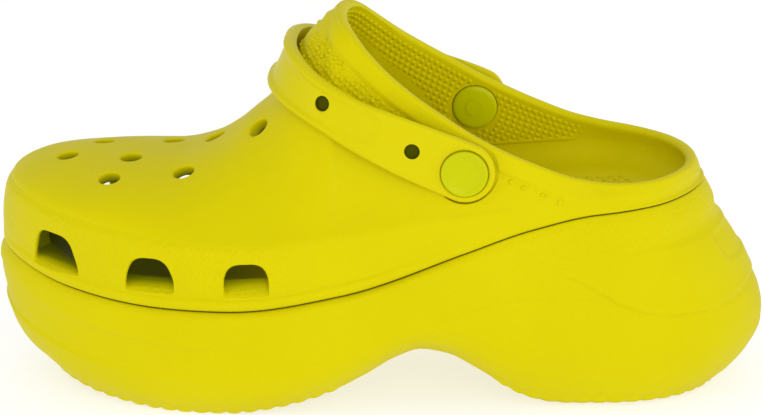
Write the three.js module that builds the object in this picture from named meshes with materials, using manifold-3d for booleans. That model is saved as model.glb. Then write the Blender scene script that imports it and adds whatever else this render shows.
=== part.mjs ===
// Left platform clog moulded in foam: upper with footbed, bonded platform sole,
// swinging heel strap and the four rivet halves that hold it. Millimetres, +Z up.
// Toe at -X, heel at +X, the outer (lateral) side at -Y. The clog stands on Z = 0.
import * as THREE from 'three';
import { mergeVertices } from 'three/addons/utils/BufferGeometryUtils.js';
import Module from 'manifold-3d';

const wasm = await Module();
wasm.setup();

// ---- driving dimensions -------------------------------------------------------------------------
const UPPER_TOE = -137.4; // tip of the upper's toe at the seam
const UPPER_HEEL = 117.5; // back of the upper at the seam
const TOE_LEAN = 7; // how far the toe tip leans to the inner side of the foot
const LEAN_RESET = -0.7; // shift that centres the widest sole ring on Y = 0
const WALL = 4; // thickness of the upper
const SEAM_GAP = 0.3; // glue line between upper and sole
const FOOTBED = 7; // thickness of the footbed under the foot
const BAND_SWELL = 1.3; // how far the foxing band stands proud
const PIVOT_X = 34; // strap pivot
const PIVOT_Z = 90.2;
const WALL_FACE = 42.1; // outer spot face of the upper at the pivot, from the mid plane
const INNER_FACE = 37.6; // inner spot face at the pivot, from the mid plane
const LOBE_RADIUS = 10.7; // round end of the strap
const STRAP_ANGLE = 155; // strap direction from +X towards +Z, swung forward
const STRAP_REACH = 74; // pivot to the outer face of the strap's bow
const STRAP_HALF = 46.2; // mid plane to the outer face of a strap leg
const STRAP_THICK = 3.1;
const STRAP_BOW = 2.6; // superellipse exponent of the strap seen from above
const STRAP_HOLE = 2.75; // radius of the small strap holes
const POST_RADIUS = 3.2; // rivet post
const BORE_ROOM = 0.3; // clearance round the post
const LOBE_ROOM = 1.4; // clearance round the strap's lobe in its spot face
const CAP_RADIUS = 8.2; // rivet cap
const VENT_RADIUS = 3.8; // round vents in the vamp
const VENT_REACH = 14; // how far a vent's cutter goes through, each way
const SIDE_STEPS = 12; // columns along the closed toe, each side
const RIM_STEPS = 18; // columns along the open rim, each side

// ---- small helpers ------------------------------------------------------------------------------
const rad = THREE.MathUtils.degToRad;
const mix = THREE.MathUtils.lerp;

// Smooth curve through [position, value] stations, flat at its two ends.
function stations(list) {
  const slope = (i) => {
    if (i === 0 || i === list.length - 1) return 0;
    const before = (list[i][1] - list[i - 1][1]) / (list[i][0] - list[i - 1][0]);
    const after = (list[i + 1][1] - list[i][1]) / (list[i + 1][0] - list[i][0]);
    return before * after > 0 ? 2 * before * after / (before + after) : 0;
  };
  return (at) => {
    const last = list.length - 1;
    if (at <= list[0][0]) return list[0][1];
    if (at >= list[last][0]) return list[last][1];
    const i = list.findIndex((station, k) => k < last && at < list[k + 1][0]);
    const span = list[i + 1][0] - list[i][0];
    const t = (at - list[i][0]) / span;
    const rise = t * t * (3 - 2 * t);
    const leave = t * (1 - t) * (1 - t) * span * slope(i);
    const arrive = t * t * (t - 1) * span * slope(i + 1);
    return list[i][1] + (list[i + 1][1] - list[i][1]) * rise + leave + arrive;
  };
}

// Closed or open grid of points to triangles. rows[r][c], columns wrap around.
function gridTriangles(rows, triangles, keep = () => true) {
  const count = rows[0].length;
  for (let r = 0; r + 1 < rows.length; r += 1) {
    for (let c = 0; c < count; c += 1) {
      const d = (c + 1) % count;
      if (keep(r, c, d)) {
        triangles.push(rows[r][c], rows[r][d], rows[r + 1][d]);
        triangles.push(rows[r][c], rows[r + 1][d], rows[r + 1][c]);
      }
    }
  }
}

// Fan over a ring of points, to close the end of a swept body.
function capTriangles(ring, triangles, far) {
  const centre = ring.reduce((sum, p) => sum.add(p), new THREE.Vector3()).divideScalar(ring.length);
  ring.forEach((point, i) => {
    const next = ring[(i + 1) % ring.length];
    triangles.push(centre, ...(far ? [point, next] : [next, point]));
  });
}

// Triangle soup of Vector3 to a solid: equal corners merged, empty triangles dropped.
function solid(triangles) {
  const numbers = new Float32Array(triangles.flatMap((p) => [p.x, p.y, p.z]));
  const soup = new THREE.BufferGeometry();
  soup.setAttribute('position', new THREE.BufferAttribute(numbers, 3));
  return toManifold(soup);
}

function toManifold(geometry) {
  const bare = geometry.index ? geometry.toNonIndexed() : geometry;
  bare.deleteAttribute('normal');
  bare.deleteAttribute('uv');
  const merged = mergeVertices(bare, 1e-3);
  const index = merged.index.array;
  const kept = [];
  for (let i = 0; i < index.length; i += 3) {
    const [a, b, c] = [index[i], index[i + 1], index[i + 2]];
    if (a !== b && b !== c && c !== a) kept.push(a, b, c);
  }
  return new wasm.Manifold(new wasm.Mesh({
    numProp: 3,
    vertProperties: new Float32Array(merged.attributes.position.array),
    triVerts: new Uint32Array(kept),
  }));
}

function toMesh(name, body, material) {
  const data = body.getMesh();
  const geometry = new THREE.BufferGeometry();
  geometry.setAttribute('position', new THREE.BufferAttribute(data.vertProperties, 3));
  geometry.setIndex(new THREE.BufferAttribute(data.triVerts, 1));
  geometry.computeVertexNormals();
  const mesh = new THREE.Mesh(geometry, material);
  mesh.name = name;
  return mesh;
}

// Cylinder from point a to point b.
function rod(radius, a, b, sides = 20) {
  const along = b.clone().sub(a);
  const geometry = new THREE.CylinderGeometry(radius, radius, along.length(), sides);
  const turn = new THREE.Quaternion().setFromUnitVectors(
    new THREE.Vector3(0, 1, 0), along.clone().normalize());
  geometry.applyQuaternion(turn);
  const middle = a.clone().add(b).multiplyScalar(0.5);
  geometry.translate(middle.x, middle.y, middle.z);
  return toManifold(geometry);
}

// ---- plan shape and heights, by the angle around the plan (0 toe, 180 heel) -----------------------
const UPPER_MID = (UPPER_TOE + UPPER_HEEL) / 2;
const UPPER_HALF = (UPPER_HEEL - UPPER_TOE) / 2;

const halfWidth = stations([[0, 66], [20, 64.8], [44, 60.6], [60, 57], [77, 51.9], [98, 46.9],
  [112, 47.4], [125, 50.8], [142, 60.6], [155, 65.6], [180, 66]]);
const seamHeight = stations([[0, 52.5], [20, 50.6], [40, 45.4], [60, 41.6], [72, 40.9], [90, 46.1],
  [110, 60.6], [122, 68.6], [135, 73.3], [150, 74.3], [180, 75.4]]);
const bandHeight = stations([[0, 75.5], [20, 75], [40, 71], [60, 66.8], [74, 64.6], [90, 68.4],
  [108, 74.8], [120, 76.6], [135, 78.2], [180, 77.9]]);
const floorHeight = stations([[-130, 53], [-100, 50.5], [-60, 48], [-30, 50], [0, 55], [40, 64.5],
  [75, 70.2], [115, 70.5]]);
const ridgeHeight = stations([[-95, 85.4], [-70, 86.2], [-58, 90], [-50, 95], [-43.5, 100.5],
  [-36, 106.9], [-30, 116.5], [-26, 124.8], [-22.5, 129.8], [-18, 133.6], [-13, 136.8]]);
const rimWidth = stations([[0, 64], [20, 56], [35, 48.6], [50, 44], [70, 41.5], [95, 40.6],
  [115, 42.4], [135, 46.8], [150, 49.2], [180, 50.6]]);
const rimHeight = stations([[0, 136.8], [15, 135.4], [25, 132.4], [35, 127.4], [50, 118.2], [65, 108.8],
  [80, 99.2], [95, 91.4], [110, 85.8], [125, 83.3], [145, 82], [180, 81.5]]);

// Middle line of the plan at an angle: it leans inwards at the toe.
const lean = (angle) => TOE_LEAN * ((1 + Math.cos(rad(angle))) / 2) ** 5 + LEAN_RESET;
const angleAt = (x) => THREE.MathUtils.radToDeg(
  Math.acos(THREE.MathUtils.clamp((UPPER_MID - x) / UPPER_HALF, -1, 1)));

// Points where the plan's columns meet its skeleton, drawn in from both ends.
function spineX(x) {
  const toe = Math.max(0, (-30 - x) / (-30 - UPPER_TOE));
  const heel = Math.max(0, (x - 20) / (UPPER_HEEL - 20));
  return x + 43 * toe * toe - 38 * heel * heel;
}

// All columns: the closed toe first, then around the open rim. side is -1 outer, +1 inner.
const RIM_FRONT = -13;
const RIM_BACK = 114.8;
const RIM_FOOT = -14;

function columnList() {
  const angles = [];
  const foot = angleAt(RIM_FOOT);
  for (let i = 0; i < SIDE_STEPS; i += 1) angles.push({ angle: foot * i / SIDE_STEPS, rim: null });
  for (let i = 0; i <= RIM_STEPS; i += 1) {
    const rim = 180 * i / RIM_STEPS;
    const along = (1 - Math.cos(rad(rim))) / 2;
    angles.push({ angle: angleAt(mix(RIM_FOOT, UPPER_HEEL, along)), rim });
  }
  const outer = angles.map((column) => ({ ...column, side: -1 }));
  const inner = angles.slice(1, -1).reverse().map((column) => ({ ...column, side: 1 }));
  return [...outer, ...inner];
}

const columns = columnList();

// Point of the plan: reach 1 is the outline, 0 the skeleton; swell moves it outwards in mm.
function planPoint(column, reach, z, swell = 0) {
  const x = UPPER_MID - UPPER_HALF * Math.cos(rad(column.angle));
  const half = halfWidth(column.angle) * Math.sin(rad(column.angle));
  const centre = lean(column.angle);
  const spine = spineX(x);
  const away = new THREE.Vector3(x - spine, column.side * half, 0);
  const length = away.length();
  const scaled = away.multiplyScalar((reach * length + swell) / length);
  return new THREE.Vector3(spine + scaled.x, centre + scaled.y, z);
}

// ---- upper with footbed ---------------------------------------------------------------------------
// Top end of a column: the ridge over the toe, or the lip's outer edge around the opening.
function columnEnd(column) {
  if (column.rim === null) {
    const x = UPPER_MID - UPPER_HALF * Math.cos(rad(column.angle));
    const ridge = Math.min(spineX(x), RIM_FRONT - 4);
    return new THREE.Vector3(ridge, lean(column.angle), ridgeHeight(ridge));
  }
  const turn = rad(column.rim);
  const x = (RIM_FRONT + RIM_BACK) / 2 - (RIM_BACK - RIM_FRONT) / 2 * Math.cos(turn);
  const y = column.side * rimWidth(column.rim) * Math.sin(turn) + lean(column.angle);
  return new THREE.Vector3(x, y, rimHeight(column.rim));
}

// Handles of a wall column in mm. Foot: inwards and as a share of the rise, by plan angle.
// Head: outwards and down, by rim angle; over the toe the head handle is a share of the half width.
const footIn = stations([[0, 0], [45, 1], [60, 5], [72, 10], [86, 12.5], [95, 8.8], [103, 6.4],
  [112, 2.6], [130, 0.6], [180, 0.4]]);
const footUp = stations([[0, 0.48], [45, 0.48], [68, 0.36], [90, 0.26], [112, 0.33], [180, 0.33]]);
const archOut = stations([[0, 0.48], [60, 0.5], [82, 0.5], [90, 0.75]]);
const headOut = stations([[0, 35], [10, 22], [20, 12], [35, 5], [60, 2], [95, 1.2], [180, 0.6]]);
const headDown = stations([[0, 0], [10, 2.5], [20, 7], [35, 11.5], [60, 11], [95, 5], [130, 1],
  [180, 0.6]]);

function wallColumn(column, steps) {
  const foot = planPoint(column, 1, bandHeight(column.angle) + 0.8, -bandInset(column.angle) - 1);
  const end = columnEnd(column);
  const outward = foot.clone().sub(end).setZ(0);
  const closed = column.rim === null;
  const width = outward.length();
  outward.normalize();
  const low = foot.clone().addScaledVector(outward, -footIn(column.angle));
  low.z += (end.z - foot.z) * footUp(column.angle);
  const reach = closed ? archOut(column.angle) * width : Math.min(headOut(column.rim), 0.75 * width);
  const high = end.clone().addScaledVector(outward, reach);
  if (!closed) high.z -= headDown(column.rim);
  return new THREE.CubicBezierCurve3(foot, low, high, end).getPoints(steps);
}

// The band's top edge draws in where the toe rounds over.
const bandInset = stations([[0, 3.4], [25, 1.6], [45, 0.2], [180, 0]]);

const WALL_ROWS = 7;

function outerRows() {
  const seam = columns.map((c) => planPoint(c, 1, seamHeight(c.angle), -0.4));
  const belly = columns.map((c) => planPoint(
    c, 1, mix(seamHeight(c.angle), bandHeight(c.angle), 0.25), BAND_SWELL * 0.8));
  const shoulder = columns.map((c) => planPoint(
    c, 1, mix(seamHeight(c.angle), bandHeight(c.angle), 0.75), BAND_SWELL - bandInset(c.angle) * 0.4));
  const crease = columns.map((c) => planPoint(
    c, 1, bandHeight(c.angle), BAND_SWELL * 0.6 - bandInset(c.angle)));
  const walls = columns.map((c) => wallColumn(c, WALL_ROWS));
  const wallRows = Array.from({ length: WALL_ROWS + 1 }, (_, r) => walls.map((wall) => wall[r]));
  return { band: [seam, belly, shoulder, crease], walls: wallRows };
}

// Points moved inwards along the surface normal of a closed ring grid.
function inset(rows, distance) {
  const count = rows[0].length;
  return rows.map((row, r) => row.map((point, c) => {
    const around = row[(c + 1) % count].clone().sub(row[(c + count - 1) % count]);
    const up = rows[Math.min(r + 1, rows.length - 1)][c].clone().sub(rows[Math.max(r - 1, 0)][c]);
    const normal = around.cross(up).normalize();
    if (r === rows.length - 1 && columns[c].rim === null) normal.copy(ridgeNormal(point.x));
    return point.clone().addScaledVector(normal, -distance);
  }));
}

function ridgeNormal(x) {
  return new THREE.Vector3(ridgeHeight(x - 1) - ridgeHeight(x + 1), 0, 2).normalize();
}

function upperBody() {
  const { band, walls } = outerRows();
  const underside = [0, 0.45, 0.78, 0.94].map((reach) => columns.map((c) => {
    const point = planPoint(c, reach, 0);
    const deep = floorHeight(point.x) - FOOTBED;
    point.z = mix(deep, seamHeight(c.angle), reach ** 7);
    return point;
  }));
  const outside = [...underside, ...band, ...walls];
  const inside = inset(walls, WALL);
  for (const [c, column] of columns.entries()) {
    if (column.rim === null) continue;
    const top = walls[WALL_ROWS][c];
    inside[WALL_ROWS][c] = new THREE.Vector3(top.x, top.y, top.z).add(lipStep(column, 1, -0.6));
  }
  const lip = [0.22, 0.78].map((share) => columns.map((column, c) => {
    const top = walls[WALL_ROWS][c];
    return column.rim === null ? top : top.clone().add(lipStep(column, share, 1.3));
  }));
  const floorEdge = [[0.93, 0.35], [0.86, 0.06], [0.7, 0]].map(([reach, share]) => columns.map((c) => {
    const point = planPoint(c, reach, 0);
    const low = floorHeight(point.x);
    point.z = low + share * Math.max(0, bandHeight(c.angle) - low - 2);
    return point;
  }));
  const floor = [0.35, 0].map((reach) => columns.map((c) => {
    const point = planPoint(c, reach, 0);
    point.z = floorHeight(point.x);
    return point;
  }));
  const down = [...inside].reverse();
  const closed = (c) => columns[c].rim === null;
  const triangles = [];
  gridTriangles(outside, triangles);
  gridTriangles([walls[WALL_ROWS], ...lip, inside[WALL_ROWS]], triangles,
    (r, c, d) => !closed(c) && !closed(d));
  gridTriangles([...down, ...floorEdge, ...floor], triangles);
  return solid(triangles);
}

// Step from the lip's outer edge towards the opening: share 1 is its inner edge.
function lipStep(column, share, rise) {
  const ahead = columnEnd({ ...column, rim: Math.min(180, column.rim + 2) });
  const behind = columnEnd({ ...column, rim: Math.max(0, column.rim - 2) });
  const along = ahead.sub(behind).setZ(0).normalize();
  const inward = new THREE.Vector3(along.y, -along.x, 0).multiplyScalar(column.side);
  if (column.rim === 0) inward.set(1, 0, 0);
  if (column.rim === 180) inward.set(-1, 0, 0);
  return inward.multiplyScalar(WALL * share).setZ(rise);
}

// Point of the pivot axis at a distance from the mid plane.
function pivotPoint(y) {
  return new THREE.Vector3(PIVOT_X, y, PIVOT_Z);
}

// Round vents of the vamp: x, y and the height of the wall there.
const ROUND_VENTS = [
  [-112, -1.5, 83.7], [-100.6, 12.5, 84.7], [-93.6, -23, 81.7], [-88, -7.9, 84.9], [-74.8, 10.8, 86],
  [-106, 28, 80], [-67.4, -22.2, 84], [-58.4, 2, 90], [-87, 35, 79], [-64, 31, 85],
  [-40.7, -17.4, 99.3], [-47, 21, 95],
];

// Side vents by plan angle, on both sides: height of the sill, widths at sill and head, rise.
const SIDE_VENTS = [{ angle: 36, low: 54, sill: 18, head: 13, rise: 10 },
  { angle: 58, low: 51.5, sill: 16.5, head: 10, rise: 8.5 },
  { angle: 75, low: 50.5, sill: 15.5, head: 9, rise: 8.3 }];

function roundVent([x, y, z]) {
  const down = new THREE.Vector3(x, y * 0.85, z - VENT_REACH);
  const up = new THREE.Vector3(x - 2, y * 1.15, z + VENT_REACH);
  return rod(VENT_RADIUS, down, up, 12);
}

// Arched window through the band, pushed along the wall's normal.
function sideVent({ angle, low, sill, head, rise }, side) {
  const at = planPoint({ angle, side }, 1, 0);
  const next = planPoint({ angle: angle + 1, side }, 1, 0);
  const along = next.sub(at).normalize();
  const normal = new THREE.Vector3(along.y, -along.x, 0).multiplyScalar(-side);
  const shape = new THREE.Shape();
  shape.moveTo(-sill / 2, 0);
  shape.lineTo(sill / 2, 0);
  shape.lineTo(head / 2 + 1.5, rise * 0.75);
  shape.quadraticCurveTo(head / 2, rise, head / 2 - 2, rise);
  shape.lineTo(2 - head / 2, rise);
  shape.quadraticCurveTo(-head / 2, rise, -head / 2 - 1.5, rise * 0.75);
  const depth = 16;
  const window = new THREE.ExtrudeGeometry(shape, { depth, bevelEnabled: false, curveSegments: 2 });
  const turn = new THREE.Matrix4().makeBasis(
    along, new THREE.Vector3(0, 0, 1), along.clone().cross(new THREE.Vector3(0, 0, 1)));
  window.applyMatrix4(turn);
  const reach = along.clone().cross(new THREE.Vector3(0, 0, 1)).dot(normal) > 0 ? 6 - depth : 6;
  window.translate(at.x + normal.x * reach, at.y + normal.y * reach, low);
  return toManifold(window);
}

function upperSolid() {
  let body = upperBody();
  for (const side of [-1, 1]) {
    const [face, outside] = [pivotPoint(side * WALL_FACE), pivotPoint(side * 60)];
    const [innerFace, inside] = [pivotPoint(side * INNER_FACE), pivotPoint(side * 20)];
    body = body.subtract(rod(LOBE_RADIUS + LOBE_ROOM, face, outside, 32));
    body = body.subtract(rod(CAP_RADIUS + 0.5, innerFace, inside, 28));
    body = body.subtract(rod(POST_RADIUS + BORE_ROOM, pivotPoint(side * 30), pivotPoint(side * 50), 20));
    for (const vent of SIDE_VENTS) body = body.subtract(sideVent(vent, side));
  }
  for (const vent of ROUND_VENTS) body = body.subtract(roundVent(vent));
  return body;
}

// ---- platform sole ----------------------------------------------------------------------------------
// Side profile by share of the way down from the seam: the toe's and the heel's travel along X,
// and the swell of the flanks.
const toeTravel = stations([[0, 0], [0.08, 1.6], [0.16, 2], [0.25, 1.8], [0.35, 1.1], [0.45, 0.5],
  [0.62, -0.8], [0.77, -3.2], [0.9, -7], [1, -12.4]]);
const heelTravel = stations([[0, 0], [0.04, 1.3], [0.1, 3.2], [0.15, 3.7], [0.21, 7.5], [0.34, 13.2],
  [0.47, 17], [0.57, 19.8], [0.66, 20.9], [0.73, 20.6], [0.83, 17.4], [0.94, 11], [1, 5]]);
const flankSwell = stations([[0, 0], [0.06, 1.3], [0.3, 2.6], [0.6, 2.4], [0.8, 0.4], [0.93, -2.8],
  [1, -5.8]]);
const treadHeight = stations([[-123, 9], [-113, 6.2], [-97, 3.4], [-82, 1.7], [-69, 1], [-50, 1.4],
  [-38, 3], [-27, 5.5], [-15, 9.4], [-3, 15], [8, 21.3], [17, 24.2], [26, 22.6], [37, 16.5],
  [46, 10.3], [54, 6.1], [62, 4.2], [71, 3.4], [95, 2.8], [123, 2.3]]);
// How far the rounded tread edge stays above the tread, by the distance along the foot.
const treadRound = stations([[45, 2.2], [65, 3.4]]);
const SOLE_ROWS = [0, 0.06, 0.13, 0.18, 0.3, 0.45, 0.6, 0.72, 0.83, 0.93, 1];

function solePoint(column, share) {
  const turn = rad(column.angle);
  const toe = UPPER_TOE - toeTravel(share);
  const heel = UPPER_HEEL + heelTravel(share);
  const x = (toe + heel) / 2 - (heel - toe) / 2 * Math.cos(turn);
  const half = (halfWidth(column.angle) + flankSwell(share)) * Math.sin(turn);
  const y = lean(column.angle) + column.side * half;
  return new THREE.Vector3(x, y, mix(seamHeight(column.angle) - SEAM_GAP, treadHeight(x), share));
}

function soleBody() {
  const flank = SOLE_ROWS.map((share) => columns.map((c) => solePoint(c, share)));
  flank[0] = columns.map((c) => planPoint(c, 1, seamHeight(c.angle) - SEAM_GAP, -0.4));
  const top = [0, 0.45, 0.78, 0.94].map((reach) => columns.map((c) => {
    const point = planPoint(c, reach, 0);
    const deep = floorHeight(point.x) - FOOTBED;
    point.z = mix(deep, seamHeight(c.angle), reach ** 7) - SEAM_GAP;
    return point;
  }));
  const tread = [0.95, 0.5, 0].map((reach) => columns.map((c, i) => {
    const edge = flank[SOLE_ROWS.length - 1][i];
    const spine = new THREE.Vector3(spineX(edge.x * 0.9), lean(c.angle), 0);
    const point = spine.lerp(edge, reach);
    point.z = Math.max(0, treadHeight(point.x) - treadRound(point.x));
    return point;
  }));
  const triangles = [];
  gridTriangles([...top, ...flank, ...tread], triangles);
  return solid(triangles.reverse());
}

// ---- heel strap -------------------------------------------------------------------------------------
const direction = new THREE.Vector3(Math.cos(rad(STRAP_ANGLE)), 0, Math.sin(rad(STRAP_ANGLE)));
const across = new THREE.Vector3(Math.sin(rad(STRAP_ANGLE)), 0, -Math.cos(rad(STRAP_ANGLE)));
// Edges of the strap above and below its middle line, by the distance along the leg.
const strapTop = stations([[0, 10.7], [20, 9.6], [33, 8.2], [47, 6.8], [60, 6.8], [75, 8.2]]);
const strapFoot = stations([[0, 10.7], [20, 10.9], [40, 10.4], [52, 9.8], [75, 10.2]]);
const strapLip = stations([[30, 0], [60, 1], [75, 1.3]]);

// Point of the strap: along the leg, across the width, and in from the outer face.
function strapPoint(along, out, width) {
  return pivotPoint(0).addScaledVector(direction, along).addScaledVector(across, width).setY(out);
}

function strapStations() {
  const list = [];
  const lobe = 6;
  for (let i = 0; i < lobe; i += 1) {
    const turn = rad(mix(14, 90, i / lobe));
    list.push({ bow: 0, shift: -LOBE_RADIUS * Math.cos(turn), half: LOBE_RADIUS * Math.sin(turn) });
  }
  const steps = 24;
  for (let i = 0; i <= steps; i += 1) list.push({ bow: 180 * i / steps, shift: 0, half: null });
  for (let i = lobe - 1; i >= 0; i -= 1) list.push({ ...list[i], bow: 180 });
  return list;
}

// Plan of the bow, a superellipse: reach along the strap and side offset.
function bowPoint(bow, inset) {
  const turn = rad(bow);
  const power = 2 / STRAP_BOW;
  const along = (STRAP_REACH - inset) * Math.sin(turn) ** power;
  const out = -(STRAP_HALF - inset) * Math.sign(Math.cos(turn)) * Math.abs(Math.cos(turn)) ** power;
  return { along: bow === 180 ? 0 : along, out: Math.abs(out) < 1e-6 ? 0 : out };
}

function strapBody() {
  const section = [[-1, 0.6], [-0.9, 0], [-0.6, 0.2], [0.6, 0.2], [0.9, 0], [1, 0.6],
    [1, STRAP_THICK - 0.4], [0.94, STRAP_THICK], [-0.94, STRAP_THICK], [-1, STRAP_THICK - 0.4]];
  const rings = strapStations().map(({ bow, shift, half }) => section.map(([share, inset]) => {
    const lip = inset === 0 ? -strapLip(bowPoint(bow, 0).along) : 0;
    const { along, out } = bowPoint(bow, inset + lip);
    const edge = share > 0 ? strapTop : strapFoot;
    const width = half ?? edge(bowPoint(bow, 0).along);
    return strapPoint(along + shift, out, share * width);
  }));
  const triangles = [];
  gridTriangles(rings, triangles);
  capTriangles(rings[0], triangles, false);
  capTriangles(rings[rings.length - 1], triangles, true);
  return solid(triangles);
}

function strapSolid() {
  let body = strapBody();
  body = body.subtract(rod(POST_RADIUS + BORE_ROOM, pivotPoint(-60), pivotPoint(60), 20));
  const straight = [strapPoint(19.7, -60, -0.5), strapPoint(19.7, 60, -0.5)];
  body = body.subtract(rod(STRAP_HOLE, ...straight, 14));
  for (const side of [-1, 1]) {
    const hole = [strapPoint(48, side * 20, -0.5), strapPoint(61, side * 52, -0.5)];
    body = body.subtract(rod(STRAP_HOLE, ...hole, 14));
  }
  return body;
}

// ---- rivets -------------------------------------------------------------------------------------------
// Turned about the pivot axis; heights are measured from the mid plane.
function turned(profile, side) {
  const points = profile.map(([radius, height]) => new THREE.Vector2(radius, height));
  const geometry = new THREE.LatheGeometry(points, 28);
  if (side < 0) geometry.rotateX(Math.PI);
  geometry.translate(PIVOT_X, 0, PIVOT_Z);
  return toManifold(geometry);
}

function outerRivet(side) {
  const back = STRAP_HALF + SEAM_GAP;
  return turned([[0, INNER_FACE - 2.6], [POST_RADIUS, INNER_FACE - 2.6], [POST_RADIUS, back],
    [CAP_RADIUS, back], [CAP_RADIUS, back + 0.5], [CAP_RADIUS - 0.7, back + 1.1],
    [CAP_RADIUS * 0.5, back + 1.6], [0, back + 1.8]], side);
}

function innerRivet(side) {
  const face = INNER_FACE - SEAM_GAP;
  const bore = POST_RADIUS + BORE_ROOM;
  return turned([[0, face - 4.2], [CAP_RADIUS * 0.5, face - 3.9], [CAP_RADIUS - 0.7, face - 3.2],
    [CAP_RADIUS, face - 2.4], [CAP_RADIUS, face], [bore, face], [bore, face - 2.7], [0, face - 2.7]], side);
}

// ---- assembly -----------------------------------------------------------------------------------------
const foam = new THREE.MeshStandardMaterial({ color: 0xdcd400, roughness: 0.55, metalness: 0 });
const soleFoam = new THREE.MeshStandardMaterial({ color: 0xdcd400, roughness: 0.6, metalness: 0 });
const strapFoam = new THREE.MeshStandardMaterial({ color: 0xded600, roughness: 0.5, metalness: 0 });
const rivetPlastic = new THREE.MeshStandardMaterial({ color: 0xd0d400, roughness: 0.3, metalness: 0 });

const group = new THREE.Group();
group.add(toMesh('clog_shell', upperSolid(), foam));
group.add(toMesh('platform_sole', soleBody(), soleFoam));
group.add(toMesh('heel_strap', strapSolid(), strapFoam));
group.add(toMesh('rivet_cap_lateral', outerRivet(-1), rivetPlastic));
group.add(toMesh('rivet_cap_medial', outerRivet(1), rivetPlastic));
group.add(toMesh('rivet_washer_lateral', innerRivet(-1), rivetPlastic));
group.add(toMesh('rivet_washer_medial', innerRivet(1), rivetPlastic));
export default group;
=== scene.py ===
"""Looks of the left platform clog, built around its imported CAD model.

Shapes are worked out in millimetres, toe at -X, outer side at -Y, and turned into metres when a
mesh is made. The driving dimensions and main curves repeat those of the CAD part, so each piece
lies where its CAD node does. It adds rounding, grain, domes, creases and tread, and differs from the
CAD where a comment says so.
"""
import math

import bmesh
import bpy
import numpy as np
from mathutils import Matrix, Vector
from mathutils.kdtree import KDTree


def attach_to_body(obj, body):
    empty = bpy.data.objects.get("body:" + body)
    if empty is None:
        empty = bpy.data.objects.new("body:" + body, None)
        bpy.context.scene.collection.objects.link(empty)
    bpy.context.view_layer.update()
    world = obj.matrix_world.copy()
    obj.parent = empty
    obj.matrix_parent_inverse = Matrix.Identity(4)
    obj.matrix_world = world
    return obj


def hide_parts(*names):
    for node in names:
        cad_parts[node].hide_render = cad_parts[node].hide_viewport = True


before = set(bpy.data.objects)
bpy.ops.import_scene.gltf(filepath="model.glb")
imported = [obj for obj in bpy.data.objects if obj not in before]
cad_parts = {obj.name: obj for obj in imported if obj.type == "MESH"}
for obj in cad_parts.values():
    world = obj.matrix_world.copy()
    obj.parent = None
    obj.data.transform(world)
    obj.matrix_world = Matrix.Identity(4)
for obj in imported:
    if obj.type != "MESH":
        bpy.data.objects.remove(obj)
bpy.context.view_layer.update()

MM = 0.001

# ---- driving dimensions, as in the CAD part ----------------------------------------------------
UPPER_TOE = -137.4
UPPER_HEEL = 117.5
UPPER_MID = (UPPER_TOE + UPPER_HEEL) / 2
UPPER_HALF = (UPPER_HEEL - UPPER_TOE) / 2
TOE_LEAN = 7
LEAN_RESET = -0.7
WALL = 4
SEAM_GAP = 0.3
FOOTBED = 7
PIVOT = np.array([34, 0, 90.2])
WALL_FACE = 42.1
INNER_FACE = 37.6
LOBE_RADIUS = 10.7
STRAP_ANGLE = math.radians(155)
STRAP_REACH = 74
STRAP_HALF = 46.2
STRAP_THICK = 3.1
STRAP_BOW = 2.6
STRAP_HOLE = 2.75
POST_RADIUS = 3.2
CAP_RADIUS = 8.2
VENT_RADIUS = 3.8
RIM_FRONT = -13
RIM_BACK = 114.8
RIM_FOOT = -14
TREAD_ROUND = 2.2
HEEL_ROUND = 3.4
BORE_ROOM = 0.3

# ---- dimensions of the looks only, which the CAD part doesn't have -------------------------------
INNER_LOBE_GROWTH = 0.2  # the strap's inner lobe is a fifth taller
LEG_RELIEF = 0.9  # the strap's legs are thinner beside the collar
RIM_DIP = 1.5  # the outer rim sinks this far, around RIM_DIP_AT
RIM_DIP_AT = 88
RIM_DIP_REACH = 24
COLLAR_ROLL = 0.85  # how far the collar's rolled edge stands proud
BOWL_SLANT = 1.4  # the most that the footbed's bowl leans in

# ---- mesh density ------------------------------------------------------------------------------
TOE_STEPS = 100
RIM_STEPS = 130
WALL_ROWS = 44
BAND_ROWS = 22
LIP_ROWS = 8
SOLE_COLUMNS = 600
SOLE_ROWS = 84
CUTTER_SIDES = 40


# ---- curves and grids --------------------------------------------------------------------------
def curve(*pairs):
    """Smooth curve through (position, value) pairs, flat at its two ends."""
    at = np.array([pair[0] for pair in pairs], float)
    value = np.array([pair[1] for pair in pairs], float)
    step = np.diff(value) / np.diff(at)
    slope = np.zeros(len(at))
    for i in range(1, len(at) - 1):
        if step[i - 1] * step[i] > 0:
            slope[i] = 2 * step[i - 1] * step[i] / (step[i - 1] + step[i])

    def read(position):
        x = np.clip(np.asarray(position, float), at[0], at[-1])
        i = np.clip(np.searchsorted(at, x, side="right") - 1, 0, len(at) - 2)
        span = at[i + 1] - at[i]
        t = (x - at[i]) / span
        rise = t * t * (3 - 2 * t)
        leave = t * (1 - t) ** 2 * span * slope[i]
        arrive = t * t * (t - 1) * span * slope[i + 1]
        return value[i] + (value[i + 1] - value[i]) * rise + leave + arrive

    return read


def smooth(low, high, x):
    """0 below low, 1 above high, and smooth between them."""
    t = np.clip((np.asarray(x, float) - low) / (high - low), 0, 1)
    return t * t * (3 - 2 * t)


def mix(a, b, share):
    return a + (b - a) * share


def stack(x, y, z):
    return np.stack(np.broadcast_arrays(x, y, z), -1).astype(float)


def unit(vectors):
    length = np.linalg.norm(vectors, axis=-1, keepdims=True)
    return vectors / np.maximum(length, 1e-9)


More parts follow.
